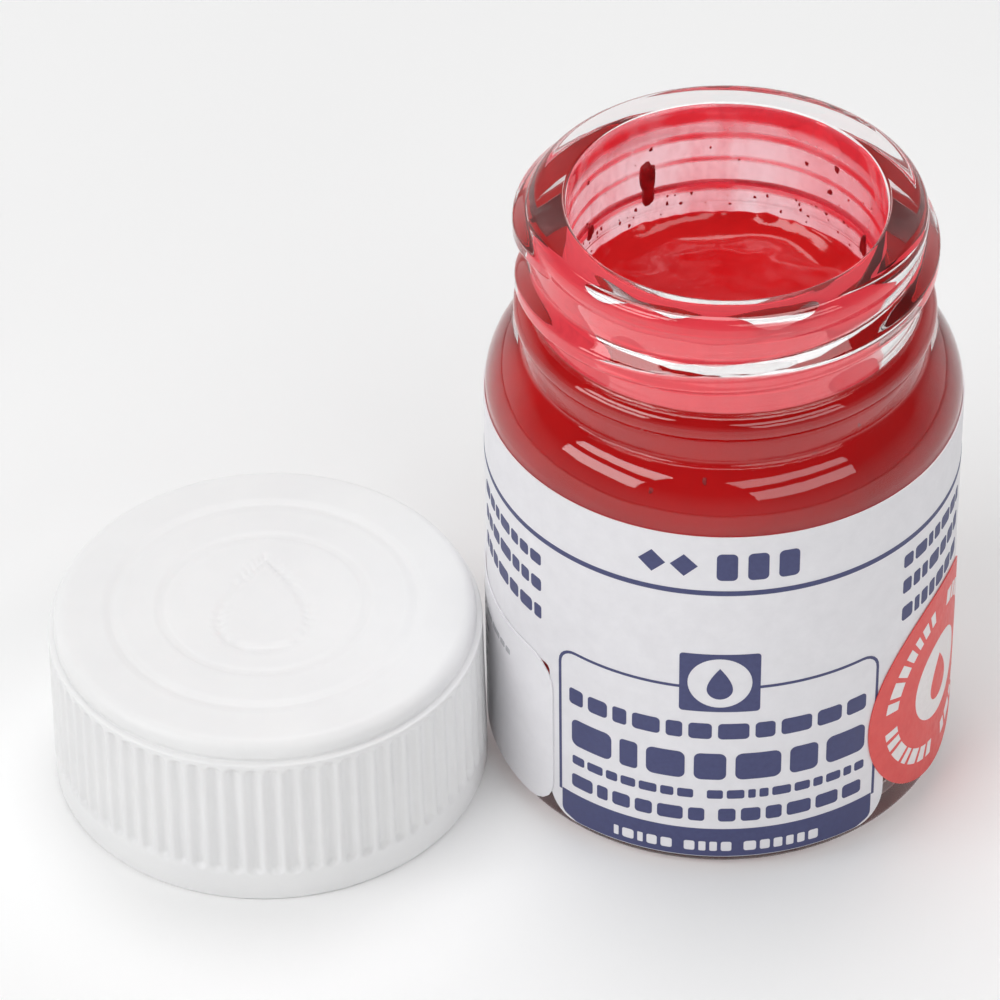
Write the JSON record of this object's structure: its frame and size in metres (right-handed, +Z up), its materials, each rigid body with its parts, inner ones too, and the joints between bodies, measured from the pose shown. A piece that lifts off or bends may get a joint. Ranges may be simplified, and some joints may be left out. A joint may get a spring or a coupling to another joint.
{
  "type": "paint jar",
  "caption": "Small open glass paint jar with a screw neck, paper labels and paint inside, and its ribbed screw cap standing beside it.",
  "frame": {"origin": "under the middle of the pair's box, on the surface that the jar and the cap stand on", "axes": "+X from the cap towards the jar, +Y away from the viewer, +Z up along both axes"},
  "size_m": [0.0608, 0.0338, 0.0436],
  "materials": {
    "clear_glass": "clear pressed glass, polished",
    "scarlet_paint": "wet gouache, satin gloss",
    "label_paper": "coated white paper with navy print",
    "sticker_film": "plain white film label",
    "coral_sticker": "coral-red coated paper",
    "cap_plastic": "white moulded polypropylene, satin",
    "liner_foam": "white foam with a smooth film face"
  },
  "bodies": {
    "jar": {"glass_jar": "clear_glass", "paint_fill": "scarlet_paint", "wrap_label": "label_paper", "side_label": "sticker_film", "round_sticker": "coral_sticker"},
    "liner": {"cap_liner": "liner_foam"},
    "cap": {"screw_cap": "cap_plastic"}
  },
  "joints": [
    {"name": "cap_lift", "type": "slide", "parent": "jar", "child": "liner", "axis": [0, 0, 1], "range_m": [0, 0.06]},
    {"name": "cap_turn", "type": "hinge", "parent": "liner", "child": "cap", "pos_m": [-0.0158, -0.00226, 0], "axis": [0, 0, 1], "continuous": true}
  ]
}
